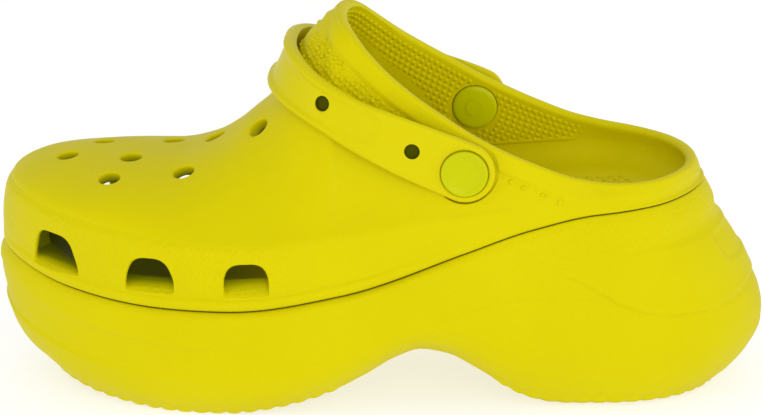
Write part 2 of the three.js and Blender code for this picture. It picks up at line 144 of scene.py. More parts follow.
half_width = curve((0, 66), (20, 64.8), (44, 60.6), (60, 57), (77, 51.9), (98, 46.9), (112, 47.4),
                   (125, 50.8), (142, 60.6), (155, 65.6), (180, 66))
seam_height = curve((0, 52.5), (20, 50.6), (40, 45.4), (60, 41.6), (72, 40.9), (90, 46.1),
                    (110, 60.6), (122, 68.6), (135, 73.3), (150, 74.3), (180, 75.4))
band_height = curve((0, 75.5), (20, 75), (40, 71), (60, 66.8), (74, 64.6), (90, 68.4), (108, 74.8),
                    (120, 76.6), (135, 78.2), (180, 77.9))
floor_height = curve((-130, 53), (-100, 50.5), (-60, 48), (-30, 50), (0, 55), (40, 64.5), (75, 70.2),
                     (115, 70.5))
ridge_height = curve((-95, 85.4), (-70, 86.2), (-58, 90), (-50, 95), (-43.5, 100.5), (-36, 106.9),
                     (-30, 116.5), (-26, 124.8), (-22.5, 129.8), (-18, 133.6), (-13, 136.8))
rim_width = curve((0, 64), (20, 56), (35, 48.6), (50, 44), (70, 41.5), (95, 40.6), (115, 42.4),
                  (135, 46.8), (150, 49.2), (180, 50.6))
rim_height = curve((0, 136.8), (15, 135.4), (25, 132.4), (35, 127.4), (50, 118.2), (65, 108.8),
                   (80, 99.2), (95, 91.4), (110, 85.8), (125, 83.3), (145, 82), (180, 81.5))
band_inset = curve((0, 3.4), (25, 1.6), (45, 0.2), (180, 0))


def lean(angle):
    """The plan's middle line leans inwards at the toe."""
    return TOE_LEAN * ((1 + np.cos(np.radians(angle))) / 2) ** 5 + LEAN_RESET


def angle_at(x):
    return np.degrees(np.arccos(np.clip((UPPER_MID - x) / UPPER_HALF, -1, 1)))


def plan_x(angle):
    return UPPER_MID - UPPER_HALF * np.cos(np.radians(angle))


def spine_x(x):
    toe = np.maximum(0, (-30 - x) / (-30 - UPPER_TOE))
    heel = np.maximum(0, (x - 20) / (UPPER_HEEL - 20))
    return x + 43 * toe * toe - 38 * heel * heel


def plan_point(angle, side, reach, z, swell=0.0):
    """Point of the plan: reach 1 is the outline, 0 the skeleton; swell moves it outwards."""
    x = plan_x(angle)
    half = half_width(angle) * np.sin(np.radians(angle))
    spine = spine_x(x)
    away = stack(x - spine, side * half, 0)
    length = np.maximum(np.linalg.norm(away, axis=-1), 1e-6)
    scaled = away * ((reach * length + swell) / length)[..., None]
    return stack(spine + scaled[..., 0], lean(angle) + scaled[..., 1], z)


def grid_faces(rows, columns, keep=None, first=0):
    """Quads of a grid whose columns wrap around. keep says which columns have faces."""
    faces = []
    for r in range(rows - 1):
        for c in range(columns):
            d = (c + 1) % columns
            if keep is None or (keep[c] and keep[d]):
                low = first + r * columns
                high = low + columns
                faces.append((low + c, low + d, high + d, high + c))
    return faces


def fan_faces(ring, centre):
    return [(centre, ring[i], ring[(i + 1) % len(ring)]) for i in range(len(ring))]


def tube_faces(rings, count, low, high):
    """Faces of a closed tube of rings, whose ends are fanned to the points low and high."""
    faces = grid_faces(rings, count)
    faces += [(b, a, c) for a, b, c in fan_faces(list(range(count)), low)]
    faces += fan_faces([(rings - 1) * count + i for i in range(count)], high)
    return faces


def grid_normals(rows):
    """Outward normals of a closed ring grid, rows[r][c]."""
    around = np.roll(rows, -1, 1) - np.roll(rows, 1, 1)
    up = np.empty_like(rows)
    up[1:-1] = rows[2:] - rows[:-2]
    up[0] = rows[1] - rows[0]
    up[-1] = rows[-1] - rows[-2]
    return unit(np.cross(around, up))


def make_mesh(name, points, faces, weld=0.002, marks=None):
    """A mesh object from points in millimetres, with equal points merged."""
    mesh = bpy.data.meshes.new(name)
    mesh.from_pydata((np.asarray(points) * MM).tolist(), [], faces)
    for mark, values in (marks or {}).items():
        layer = mesh.attributes.new(mark, "FLOAT", "POINT")
        layer.data.foreach_set("value", np.asarray(values, np.float32))
    work = bmesh.new()
    work.from_mesh(mesh)
    bmesh.ops.remove_doubles(work, verts=work.verts, dist=weld * MM)
    bmesh.ops.dissolve_degenerate(work, edges=work.edges, dist=weld * MM)
    bmesh.ops.recalc_face_normals(work, faces=work.faces)
    work.to_mesh(mesh)
    work.free()
    piece = bpy.data.objects.new(name, mesh)
    bpy.context.scene.collection.objects.link(piece)
    return piece


def shade(piece, sharp=38):
    mesh = piece.data
    mesh.polygons.foreach_set("use_smooth", np.ones(len(mesh.polygons), bool))
    mesh.set_sharp_from_angle(angle=math.radians(sharp))


def carve(piece, cutters):
    """Cuts the cutters out of the piece, all in one go."""
    points = []
    faces = []
    for cutter_points, cutter_faces in cutters:
        faces += [tuple(i + len(points) for i in face) for face in cutter_faces]
        points += list(cutter_points)
    tool = make_mesh("cutter", points, faces)
    modifier = piece.modifiers.new("cut", "BOOLEAN")
    modifier.operation = "DIFFERENCE"
    modifier.solver = "MANIFOLD"
    modifier.object = tool
    evaluated = piece.evaluated_get(bpy.context.evaluated_depsgraph_get())
    mesh = bpy.data.meshes.new_from_object(evaluated)
    piece.modifiers.clear()
    old = piece.data
    piece.data = mesh
    bpy.data.meshes.remove(old)
    bpy.data.objects.remove(tool)
    mesh.name = piece.name


def positions(piece):
    """Vertex positions in millimetres."""
    flat = np.empty(len(piece.data.vertices) * 3, np.float32)
    piece.data.vertices.foreach_get("co", flat)
    return flat.reshape(-1, 3).astype(float) / MM


def paint(piece, name, values):
    """A number for each vertex, which the material reads."""
    layer = piece.data.attributes.new(name, "FLOAT", "POINT")
    layer.data.foreach_set("value", np.asarray(values, np.float32))


def basis(axis):
    """Two directions square to an axis, and the axis."""
    axis = np.asarray(axis, float) / np.linalg.norm(axis)
    helper = np.array([0.0, 0.0, 1.0]) if abs(axis[2]) < 0.9 else np.array([1.0, 0.0, 0.0])
    first = np.cross(helper, axis)
    first /= np.linalg.norm(first)
    return first, np.cross(axis, first), axis


def revolve(profile, origin, axis, sides=CUTTER_SIDES):
    """Closed turned body from (radius, height) pairs that start and end on the axis."""
    first, second, along = basis(axis)
    origin = np.asarray(origin, float)
    points = []
    for radius, height in profile[1:-1]:
        for k in range(sides):
            turn = 2 * math.pi * k / sides
            spoke = math.cos(turn) * first + math.sin(turn) * second
            points.append(origin + radius * spoke + height * along)
    points.append(origin + profile[0][1] * along)
    points.append(origin + profile[-1][1] * along)
    return points, tube_faces(len(profile) - 2, sides, len(points) - 2, len(points) - 1)


def rounding(radius, steps=5):
    """Heights and outward offsets of a rounded hole edge, from the wall up to the surface."""
    turns = [0.5 * math.pi * k / steps for k in range(steps + 1)]
    return [(radius * (1 - math.cos(t)), -radius * (1 - math.sin(t))) for t in turns]


def flared_hole(centre, normal, radius, edge, depth, reach=8):
    """Cutter for a round hole whose outer edge is rounded."""
    profile = [(0, -depth), (radius, -depth)]
    profile += [(radius + out, height) for out, height in rounding(edge)]
    profile += [(radius + edge + 1.5, 0.8), (radius + edge + 1.5, reach), (0, reach)]
    return revolve(profile, centre, normal)


# ---- upper -------------------------------------------------------------------------------------
foot_in = curve((0, 0), (45, 1), (60, 5), (72, 10), (86, 12.5), (95, 8.8), (103, 6.4), (112, 2.6),
                (130, 0.6), (180, 0.4))
foot_up = curve((0, 0.48), (45, 0.48), (68, 0.36), (90, 0.26), (112, 0.33), (180, 0.33))
arch_out = curve((0, 0.48), (60, 0.5), (82, 0.5), (90, 0.75))
head_out = curve((0, 35), (10, 22), (20, 12), (35, 5), (60, 2), (95, 1.2), (180, 0.6))
head_down = curve((0, 0), (10, 2.5), (20, 7), (35, 11.5), (60, 11), (95, 5), (130, 1), (180, 0.6))

# Foxing band: how far it stands proud, by height above the seam; then by its share to the crease.
ROLL_HEIGHT = 5.2
roll_swell = curve((0, -0.5), (0.35, 0.5), (1.2, 1.35), (2.4, 1.7), (3.9, 1.5), (4.8, 0.8),
                   (5.4, 0.25), (6.4, 0.1))
band_swell = curve((0, 0.55), (0.3, 0.9), (0.6, 1.25), (0.85, 1.3), (0.95, 1.0), (1, 0.5))
roll_fade = curve((0, 0.45), (30, 0.9), (95, 1), (125, 0.35), (180, 0.2))
# The crease above the band dies out towards the heel, where the band draws in.
crease_depth = curve((0, 0.6), (50, 0.5), (75, 0.35), (108, 0.25), (130, 0.05), (180, 0))


def heel_draw(angle):
    """How far the top of the band draws in at the heel."""
    return 1.9 * smooth(118, 176, angle)


class Columns:
    """The upper's columns: the closed toe first, then around the open rim, both sides."""

    def __init__(self):
        toe = angle_at(RIM_FOOT) * np.arange(TOE_STEPS) / TOE_STEPS
        turn = 180 * np.arange(RIM_STEPS + 1) / RIM_STEPS
        along = (1 - np.cos(np.radians(turn))) / 2
        open_part = angle_at(RIM_FOOT + (UPPER_HEEL - RIM_FOOT) * along)
        angle = np.concatenate([toe, open_part])
        rim = np.concatenate([np.full(TOE_STEPS, -1.0), turn])
        self.angle = np.concatenate([angle, angle[1:-1][::-1]])
        self.rim = np.concatenate([rim, rim[1:-1][::-1]])
        self.side = np.concatenate([-np.ones(len(angle)), np.ones(len(angle) - 2)])
        self.closed = self.rim < 0
        self.count = len(self.angle)


columns = Columns()


def rim_point(rim, side):
    turn = np.radians(rim)
    x = (RIM_FRONT + RIM_BACK) / 2 - (RIM_BACK - RIM_FRONT) / 2 * np.cos(turn)
    along = (1 - np.cos(turn)) / 2
    middle = lean(angle_at(RIM_FOOT + (UPPER_HEEL - RIM_FOOT) * along))
    y = side * rim_width(rim) * np.sin(turn) + middle
    dip = RIM_DIP * np.exp(-((x - RIM_DIP_AT) / RIM_DIP_REACH) ** 2) * np.sin(turn) * (side < 0)
    return stack(x, y, rim_height(rim) - dip)


def column_end():
    """Top end of each column: the ridge over the toe, or the lip's outer edge."""
    ridge = np.minimum(spine_x(plan_x(columns.angle)), RIM_FRONT - 0.4)
    over_toe = stack(ridge, lean(columns.angle), ridge_height(ridge))
    around = rim_point(np.maximum(columns.rim, 0), columns.side)
    return np.where(columns.closed[:, None], over_toe, around)


def rim_inward():
    """Level direction from the lip's outer edge into the opening."""
    rim = np.maximum(columns.rim, 0)
    ahead = rim_point(np.minimum(180, rim + 1), columns.side)
    behind = rim_point(np.maximum(0, rim - 1), columns.side)
    along = unit((ahead - behind) * [1, 1, 0])
    inward = stack(along[:, 1], -along[:, 0], 0) * columns.side[:, None]
    inward[columns.rim == 0] = [1, 0, 0]
    inward[columns.rim == 180] = [-1, 0, 0]
    return inward


def settle(points, passes=40):
    """Even out the turn of the columns beside the front of the mouth."""
    even = points
    for _ in range(passes):
        even = (np.roll(even, 1, axis=0) + 2 * even + np.roll(even, -1, axis=0)) / 4
    beside = np.where(columns.closed, smooth(72, 84, columns.angle), 1 - smooth(8, 24, columns.rim))
    return mix(points, even, beside[:, None])


def wall_rows():
    """Bezier walls from the band's crease to the column ends."""
    angle = columns.angle
    swell = mix(0.5, -1, crease_depth(angle)) - band_inset(angle) - heel_draw(angle)
    foot = plan_point(angle, columns.side, 1, band_height(angle) + 0.8, swell)
    end = column_end()
    outward = (foot - end) * [1, 1, 0]
    width = np.linalg.norm(outward, axis=1)
    outward = unit(outward)
    low = foot - outward * foot_in(angle)[:, None]
    low[:, 2] += (end[:, 2] - foot[:, 2]) * foot_up(angle)
    open_reach = np.minimum(head_out(np.maximum(columns.rim, 0)), 0.75 * width)
    reach = np.where(columns.closed, arch_out(angle) * width, open_reach)
    high = end + outward * reach[:, None]
    high[:, 2] -= np.where(columns.closed, 0, head_down(np.maximum(columns.rim, 0)))
    low = settle(low)
    high = settle(high)
    share = np.linspace(0, 1, WALL_ROWS + 1)[:, None, None]
    left = 1 - share
    return left ** 3 * foot + 3 * left ** 2 * share * low + 3 * left * share ** 2 * high + share ** 3 * end


def wall_normals(rows):
    normals = grid_normals(rows)
    ridge = rows[-1, :, 0]
    slope = stack(ridge_height(ridge - 1) - ridge_height(ridge + 1), 0, 2.0)
    middle = columns.rim <= 0
    normals[-1] = np.where(middle[:, None], unit(slope), normals[-1])
    return normals


def distances(points, targets):
    """Distance of each point from the nearest of the targets."""
    tree = KDTree(len(targets))
    for k, target in enumerate(targets):
        tree.insert(target, k)
    tree.balance()
    flat = points.reshape(-1, 3)
    return np.array([tree.find(point)[2] for point in flat]).reshape(points.shape[:-1])


def rim_distance(rows):
    """Distance of the wall's points from the mouth's rim, growing down each column."""
    far = distances(rows, rows[-1, ~columns.closed])
    return np.maximum.accumulate(far[::-1])[::-1]


def collar_relief(distance):
    """The rolled collar edge stands proud of the grained band under it."""
    turn = np.maximum(columns.rim, 0)
    wide = mix(5.6, 3.6, smooth(100, 150, turn))
    edge = smooth(-0.7, 0.7, wide - distance)
    fade = 1 - smooth(84, 114, turn)
    return COLLAR_ROLL * edge * fade


def band_rows():
    angle = columns.angle
    seam = seam_height(angle)
    rise = band_height(angle) - seam
    heights = np.concatenate([np.linspace(0, 0.22, BAND_ROWS // 2, endpoint=False),
                              np.linspace(0.22, 1, BAND_ROWS // 2 + 3)])
    rows = []
    for share in heights:
        above = share * rise
        scale = np.minimum(1, rise / 9)
        roll = roll_swell(above / np.maximum(scale, 0.01)) * roll_fade(angle)
        roll = np.where(above < 0.4, np.minimum(roll, roll_swell(above)), roll)
        base = band_swell(share) * smooth(0, 0.12, share)
        swell = np.maximum(roll, base) if share > 0 else roll
        swell = mix(swell, 0.45 - 0.95 * (1 - share) ** 12, smooth(108, 126, angle))
        swell = swell - band_inset(angle) * share ** 2 - heel_draw(angle) * smooth(0, 0.5, share)
        rows.append(plan_point(angle, columns.side, 1, seam + above, swell))
    return np.array(rows)


def underside_rows():
    rows = []
    for reach in (0, 0.45, 0.78, 0.94):
        point = plan_point(columns.angle, columns.side, reach, 0)
        deep = floor_height(point[:, 0]) - FOOTBED
        point[:, 2] = mix(deep, seam_height(columns.angle), reach ** 7)
        rows.append(point)
    return np.array(rows)


def floor_rows(start, fall):
    """Smooth bowl from the foot of the inner wall down to the footbed."""
    edge = plan_point(columns.angle, columns.side, 0.66, 0)
    edge[:, 2] = floor_height(edge[:, 0])
    depth = start[:, 2] - edge[:, 2]
    level = fall * [1, 1, 0]
    most = BOWL_SLANT / np.maximum(np.linalg.norm(level, axis=1), 1e-6)
    slant = np.minimum(1 / np.maximum(np.abs(fall[:, 2]), 1e-6), most)
    slant *= 1 - smooth(100, 130, columns.angle)
    low = start + (level * slant[:, None] - [0, 0, 1]) * (0.6 * depth)[:, None]
    flat = mix(edge, start, 0.72)
    flat[:, 2] = floor_height(flat[:, 0])
    rows = []
    for share in np.linspace(0, 1, 15)[1:]:
        left = 1 - share
        rows.append(left ** 3 * start + 3 * left ** 2 * share * low
                    + 3 * left * share ** 2 * flat + share ** 3 * edge)
    for reach in (0.5, 0.34, 0.17, 0):
        point = plan_point(columns.angle, columns.side, reach, 0)
        point[:, 2] = floor_height(point[:, 0])
        rows.append(point)
    return np.array(rows)


def lip_rows(outer, inner):
    """Rolled top of the collar between the wall's outer and inner faces."""
    rows = []
    for k in range(1, LIP_ROWS):
        turn = math.pi * k / LIP_ROWS
        share = (1 - math.cos(turn)) / 2
        point = mix(outer, inner, share)
        point[:, 2] += 1.5 * math.sin(turn)
        point = np.where(columns.closed[:, None], outer, point)
        rows.append(point)
    return np.array(rows)


class UpperGrid:
    """All rows of the upper before it is cut."""

    def __init__(self):
        walls = wall_rows()
        normals = wall_normals(walls)
        distance = rim_distance(walls)
        self.outer = walls + normals * collar_relief(distance)[..., None]
        self.outer_normals = normals
        self.distance = distance
        inner = walls - normals * WALL
        step = rim_inward() * WALL
        step[:, 2] -= 0.6
        inner[-1] = np.where(columns.closed[:, None], inner[-1], walls[-1] + step)
        self.inner = inner
        self.inner_normals = -grid_normals(inner)
        self.band = band_rows()
        self.lip = lip_rows(self.outer[-1], inner[-1])


grid = UpperGrid()


# ---- vents, spot faces and rivet holes ---------------------------------------------------------
ROUND_VENTS = [(-112, -1.5), (-100.6, 12.5), (-93.6, -23), (-88, -7.9), (-74.8, 10.8), (-106, 28),
               (-67.4, -22.2), (-58.4, 2), (-87, 35), (-64, 31), (-40.7, -17.4), (-47, 21)]
# Side vents by plan angle: sill inside, sill outside, width, taper, top, slope along the band.
SIDE_VENTS = [(36, 53.4, 51.4, 20.5, 3.4, 64.6, -0.1), (58, 51.4, 47.6, 17.6, 3, 60, 0),
              (75, 51.8, 46.8, 15.6, 1.5, 58.6, 0.03)]


def surface_at(x, y):
    """Point and normal of the vamp above a plan position."""
    points = grid.outer.reshape(-1, 3)
    far = np.hypot(points[:, 0] - x, points[:, 1] - y)
    near = np.argsort(far)[:6]
    weight = 1 / (far[near] + 0.2)
    weight /= weight.sum()
    normals = grid.outer_normals.reshape(-1, 3)[near]
    return weight @ points[near], unit(weight @ normals)


def round_vent(x, y):
    point, normal = surface_at(x, y)
    return flared_hole(point, normal, VENT_RADIUS, 0.9, 9, reach=6)


def rounded_outline(corners, radii, steps=5):
    """Closed outline with arcs at its corners."""
    outline = []
    count = len(corners)
    for i, corner in enumerate(corners):
        here = np.array(corner, float)
        back = unit(np.array(corners[i - 1], float) - here)
        ahead = unit(np.array(corners[(i + 1) % count], float) - here)
        for k in range(steps + 1):
            t = k / steps
            start = here + back * radii[i]
            end = here + ahead * radii[i]
            outline.append((1 - t) ** 2 * start + 2 * t * (1 - t) * here + t * t * end)
    return np.array(outline)


def side_vent(angle, sill, shelf, width, taper, top, slope, side):
    """Window through the band, with a sill that slopes down and outwards to a shelf."""
    rings = [(10, 1.2, 1, 0), (1.2, 0.9, 1, 0), (0.35, 0.5, 1, 0), (-0.1, 0.2, 0.98, 0),
             (-0.7, 0.03, 0.9, 0), (-1.4, 0, 0.75, 0.2), (-2.4, 0, 0.47, 1.2), (-3.6, 0, 0.18, 3),
             (-5, 0, 0, 5), (-15, 0, 0, 9)]
    here = plan_point(np.array([angle - 0.5, angle + 0.5]), side, 1, 0)
    degree = np.linalg.norm(here[1] - here[0])
    points = []
    for depth, grow, open_sill, widen in rings:
        bottom = mix(sill, shelf, open_sill) - grow
        wide = width / 2 + grow + widen
        narrow = wide - taper
        knee = sill + 1.2
        corners = [(-wide, bottom), (wide, bottom), (wide, knee), (narrow, top + grow),
                   (-narrow, top + grow), (-wide, knee)]
        outline = rounded_outline(corners, [1.1, 1.1, 2, 4.4, 4.4, 2])
        at = angle + outline[:, 0] / degree
        level = outline[:, 1] + slope * outline[:, 0]
        points.append(plan_point(at, side, 1, level, 0.9 + depth))
    count = len(points[0])
    flat = np.concatenate(points)
    low = flat[:count].mean(0)
    high = flat[-count:].mean(0)
    flat = np.concatenate([flat, [low, high]])
    return list(flat), tube_faces(len(rings), count, len(flat) - 2, len(flat) - 1)


def pivot_hole(side):
    """Spot face for the lobe, rivet hole and washer seat, one turned cutter."""
    lobe = LOBE_RADIUS * (1 + INNER_LOBE_GROWTH * (side > 0)) + 1.0
    seat = CAP_RADIUS + 0.35
    hole = POST_RADIUS + BORE_ROOM
    profile = [(0, 18), (seat, 18), (seat, INNER_FACE), (hole, INNER_FACE), (hole, WALL_FACE),
               (lobe, WALL_FACE), (lobe, 60), (0, 60)]
    return revolve(profile, PIVOT, [0, side, 0], sides=64)


def upper_piece():
    floor = floor_rows(grid.inner[0], grid.inner[1] - grid.inner[6])
    rows = [underside_rows(), grid.band, grid.outer]
    first = np.concatenate(rows)
    inner = np.concatenate([grid.inner[::-1], floor])
    points = np.concatenate([first.reshape(-1, 3), inner.reshape(-1, 3)])
    faces = grid_faces(len(first), columns.count)
    faces += grid_faces(len(inner), columns.count, first=len(first) * columns.count)
    lip = np.concatenate([grid.outer[-1:], grid.lip, grid.inner[-1:]])
    faces += grid_faces(len(lip), columns.count, keep=~columns.closed, first=len(points))
    points = np.concatenate([points, lip.reshape(-1, 3)])
    piece = make_mesh("upper", points, faces)
    cutters = [round_vent(*vent) for vent in ROUND_VENTS]
    for side in (-1, 1):
        cutters.append(pivot_hole(side))
        cutters += [side_vent(*vent, side) for vent in SIDE_VENTS]
    carve(piece, cutters)
    shade(piece)
    return piece


upper = upper_piece()


# ---- platform sole -----------------------------------------------------------------------------
toe_travel = curve((0, 0), (0.08, 1.6), (0.16, 2), (0.25, 1.8), (0.35, 1.1), (0.45, 0.5),
                   (0.62, -0.8), (0.77, -3.2), (0.9, -7), (1, -12.4))
heel_travel = curve((0, 0), (0.04, 1.3), (0.1, 3.2), (0.15, 3.7), (0.21, 7.5), (0.34, 13.2),
                    (0.47, 17), (0.57, 19.8), (0.66, 20.9), (0.73, 20.6), (0.83, 17.4),
                    (0.94, 11), (1, 5))
flank_swell = curve((0, 0), (0.06, 1.3), (0.3, 2.6), (0.6, 2.4), (0.8, 0.4), (0.93, -2.8),
                    (1, -5.8))
tread_height = curve((-123, 9), (-113, 6.2), (-97, 3.4), (-82, 1.7), (-69, 1), (-50, 1.4),
                     (-38, 3), (-27, 5.5), (-15, 9.4), (-3, 15), (8, 21.3), (17, 24.2),
                     (26, 22.6), (37, 16.5), (46, 10.3), (54, 6.1), (62, 4.2), (71, 3.4),
                     (95, 2.8), (123, 2.3))
# Creases of the flank: their height by plan angle.
heel_wave = curve((112, 56.8), (118.8, 55.7), (122, 53.9), (125.5, 50.3), (129.2, 44.3),
                  (132, 40.5), (136.8, 37.3), (142.5, 35.9), (152.8, 36.5), (163, 38.3),
                  (172.8, 40), (180, 40.4))
arch_line = curve((98, 37), (111, 42.1), (117, 43.9), (121.2, 43.8), (125.8, 43.4), (132, 41))
heel_band = curve((112, 55), (126, 57.1), (131, 58.4), (137, 59.7), (144.8, 61.5), (160, 61.8),
                  (180, 62.4))
toe_line = curve((0, 46.4), (10, 45.4), (19, 43.2), (25.8, 39.5), (37.5, 34.8), (45.2, 32.3),
                 (52, 30.6), (59.5, 28), (66.8, 27.4), (80, 27.6))
toe_ledge = curve((0, 32.5), (8.8, 31.1), (15.5, 28), (21.8, 26.3), (27.5, 23.9), (33.5, 22.3),
                  (41, 20), (47.2, 18.4), (60, 17.2))
TOOTH_PITCH = 6.1
TOOTH_DEPTH = 0.95
TREAD_DEPTH = 1.3


def sole_point(angle, side, share):
    turn = np.radians(angle)
    toe = UPPER_TOE - toe_travel(share)
    heel = UPPER_HEEL + heel_travel(share)
    x = (toe + heel) / 2 - (heel - toe) / 2 * np.cos(turn)
    half = (half_width(angle) + flank_swell(share)) * np.sin(turn)
    z = mix(seam_height(angle) - SEAM_GAP, tread_height(x), share)
    return stack(x, lean(angle) + side * half, z)


def even_columns(count):
    """Plan angles and sides of columns at equal steps around the outline."""
    fine = np.linspace(0, 180, 2001)
    outline = plan_point(fine, 1, 1, 0)
    run = np.concatenate([[0], np.cumsum(np.linalg.norm(np.diff(outline, axis=0), axis=1))])
    half = np.interp(np.linspace(0, run[-1], count // 2 + 1), run, fine)
    angle = np.concatenate([half, half[1:-1][::-1]])
    side = np.concatenate([-np.ones(len(half)), np.ones(len(half) - 2)])
    return angle, side


def lip_over(above, proud, fall, soft=0.6):
    """Relief that stands proud just above a crease and dies away upwards."""
    return proud * smooth(-soft, soft, above) * np.exp(-np.maximum(above, 0) / fall)


def rounded_box(a, b, half_a, half_b, radius):
    """Signed distance to a rounded rectangle about the origin."""
    over_a = np.maximum(np.abs(a) - half_a + radius, 0)
    over_b = np.maximum(np.abs(b) - half_b + radius, 0)
    return np.hypot(over_a, over_b) - radius


def flank_relief(angle, point):
    z = point[..., 2]
    below_seam = seam_height(angle) - SEAM_GAP - z
    edge = np.clip(1 - below_seam / 1.0, 0, 1)
    relief = -0.8 * (1 - np.sqrt(1 - edge ** 2))
    above = z - heel_wave(angle)
    strength = smooth(116, 132, angle)
    relief = relief + strength * lip_over(above, 0.7, 8, 0.55)
    relief -= strength * 0.35 * np.exp(-((above + 0.5) / 0.8) ** 2)
    above = z - arch_line(angle)
    strength = smooth(98, 112, angle) * (1 - smooth(127, 133, angle))
    relief += strength * lip_over(-above, 0.55, 9, 0.7)
    above = z - heel_band(angle)
    strength = smooth(108, 122, angle)
    relief += strength * (lip_over(above, 0.3, 9, 0.7) - 0.2 * np.exp(-((above + 0.6) / 1.0) ** 2))
    above = z - toe_line(angle)
    relief += (1 - smooth(55, 80, angle)) * lip_over(above, 0.6, 5, 0.8)
    above = z - toe_ledge(angle)
    relief += (1 - smooth(38, 60, angle)) * lip_over(-above, 0.9, 6, 0.8)
    panel = rounded_box(point[..., 1] - LEAN_RESET, z - 54.5, 19, 5.2, 3)
    relief -= 0.7 * smooth(150, 160, angle) * (1 - smooth(-0.6, 0.6, panel))
    return relief


def scallops(edge):
    """Downward teeth of the tread's edge, by the length run along it."""
    step = np.linalg.norm(edge - np.roll(edge, 1, 0), axis=1)
    run = np.cumsum(step)
    teeth = round(run[-1] / TOOTH_PITCH)
    wave = np.abs(np.sin(math.pi * teeth * run / run[-1])) ** 0.7
    ground = 1 - smooth(9.5, 13.5, tread_height(edge[:, 0]))
    return wave * ground * smooth(-124, -100, edge[:, 0])


def sole_piece():
    angle, side = even_columns(SOLE_COLUMNS)
    share = np.concatenate([[0, 0.006, 0.014, 0.024], np.linspace(0.036, 1, SOLE_ROWS)])
    base = sole_point(angle[None], side[None], share[:, None])
    outward = -grid_normals(base)
    flank = base + outward * flank_relief(angle[None], base)[..., None]
    teeth = scallops(flank[-1])
    flank[..., 2] -= (TOOTH_DEPTH * teeth)[None] * smooth(0.93, 0.985, share)[:, None]
    flank[..., 2] = np.maximum(flank[..., 2], 0)
    top = []
    for reach in (0, 0.45, 0.78, 0.94, 0.985):
        point = plan_point(angle, side, reach, 0)
        deep = floor_height(point[:, 0]) - FOOTBED
        point[:, 2] = mix(deep, seam_height(angle), reach ** 7) - SEAM_GAP
        top.append(point)
    tread = []
    edge = flank[-1]
    spine = stack(spine_x(base[-1, :, 0] * 0.9), lean(angle), 0)
    for reach, lift in ((0.985, 0.0), (0.96, 0.55), (0.945, 1), (0.9, 1), (0.75, 1), (0.5, 1),
                        (0.25, 1), (0, 1)):
        point = mix(spine, edge, reach)
        rounding_depth = mix(TREAD_ROUND, HEEL_ROUND, smooth(45, 65, point[:, 0]))
        low = np.maximum(0, tread_height(point[:, 0]) - rounding_depth)
        bottom = low + TREAD_DEPTH * lift
        rim = np.maximum(low, edge[:, 2] - 0.35)
        point[:, 2] = np.where(lift < 1, mix(rim, bottom, lift), bottom)
        tread.append(point)
    rows = np.concatenate([top, flank, tread])
    zone = smooth(0.6, 1.6, flank[..., 2] - heel_band(angle)[None]) * smooth(116, 128, angle)[None]
    zone = zone * smooth(1.4, 2.6, seam_height(angle)[None] - flank[..., 2])
    grain = np.concatenate([np.zeros((len(top), len(angle))), zone,
                            np.zeros((len(tread), len(angle)))])
    piece = make_mesh("sole", rows.reshape(-1, 3), grid_faces(len(rows), len(angle)),
                      marks={"grain": grain.ravel()})
    shade(piece, 50)
    return piece


def tread_pads():
    """Raised hexagon pads of the forefoot and heel tread."""
    pitch = 8.4
    radius = 3.7
    points = []
    faces = []
    fine = np.linspace(0, 180, 400)
    edge = sole_point(fine, 1, 1.0)
    for row in range(-7, 8):
        for step in range(40):
            x = -122 + pitch * (step + 0.5 * (row % 2))
            y = row * pitch * math.sqrt(3) / 2 + float(lean(angle_at(x)))
            middle = float(lean(angle_at(x)))
            room = np.interp(x, edge[:, 0], edge[:, 1]) - middle - abs(y - middle)
            ends = min(x - edge[0, 0], edge[-1, 0] - x)
            low = float(tread_height(x)) - TREAD_ROUND
            if room < radius + 4.5 or ends < radius + 5 or low > 8:
                continue
            slope = float(tread_height(x + 1) - tread_height(x - 1)) / 2 if low > 0 else 0.0
            first = len(points)
            for size, depth in ((1, TREAD_DEPTH + 0.4), (1, 0.45), (0.94, 0.12), (0.84, 0)):
                for k in range(6):
                    turn = math.pi * (k / 3 + 1 / 6)
                    dx = radius * size * math.cos(turn)
                    points.append((x + dx, y + radius * size * math.sin(turn),
                                   max(0, low) + slope * dx + depth))
            faces += grid_faces(4, 6, first=first)
            faces.append(tuple(first + k for k in range(6)))
            faces.append(tuple(first + 18 + k for k in range(6)))
    piece = make_mesh("tread_pads", points, faces)
    shade(piece, 25)
    return piece


def seam_shade_strip():
    """Dark strip in the seam that shows as a hairline between upper and sole: painted shade, standing in
    for the shadow in the gap.
    """
    angle, side = even_columns(SOLE_COLUMNS // 2)
    seam = seam_height(angle)
    section = [(-0.35, 0.05), (-0.35, -0.4), (-2.5, -0.4), (-2.5, 0.05)]
    rows = [plan_point(angle, side, 1, seam + rise, swell) for swell, rise in section]
    rows.append(rows[0])
    piece = make_mesh("seam_shade_strip", np.concatenate(rows), grid_faces(len(rows), len(angle)))
    shade(piece)
    return piece


# ---- heel strap --------------------------------------------------------------------------------
strap_top = curve((0, 10.7), (20, 9.6), (33, 8.2), (47, 6.8), (60, 6.8), (75, 8.2))
strap_foot = curve((0, 10.7), (20, 10.9), (40, 10.4), (52, 9.8), (75, 10.2))
strap_bead = curve((12, 0.05), (35, 0.45), (58, 1.1), (75, 1.35))
STRAP_SHARES = [0, 0.12, 0.25, 0.38, 0.48, 0.56, 0.63, 0.69, 0.74, 0.79, 0.83, 0.87, 0.905, 0.935,
                0.96, 0.98, 0.993, 1]
ALONG = np.array([math.cos(STRAP_ANGLE), 0, math.sin(STRAP_ANGLE)])
ACROSS = np.array([math.sin(STRAP_ANGLE), 0, -math.cos(STRAP_ANGLE)])


def strap_point(along, out, width):
    point = PIVOT + np.multiply.outer(along, ALONG) + np.multiply.outer(width, ACROSS)
    point[..., 1] = out
    return point


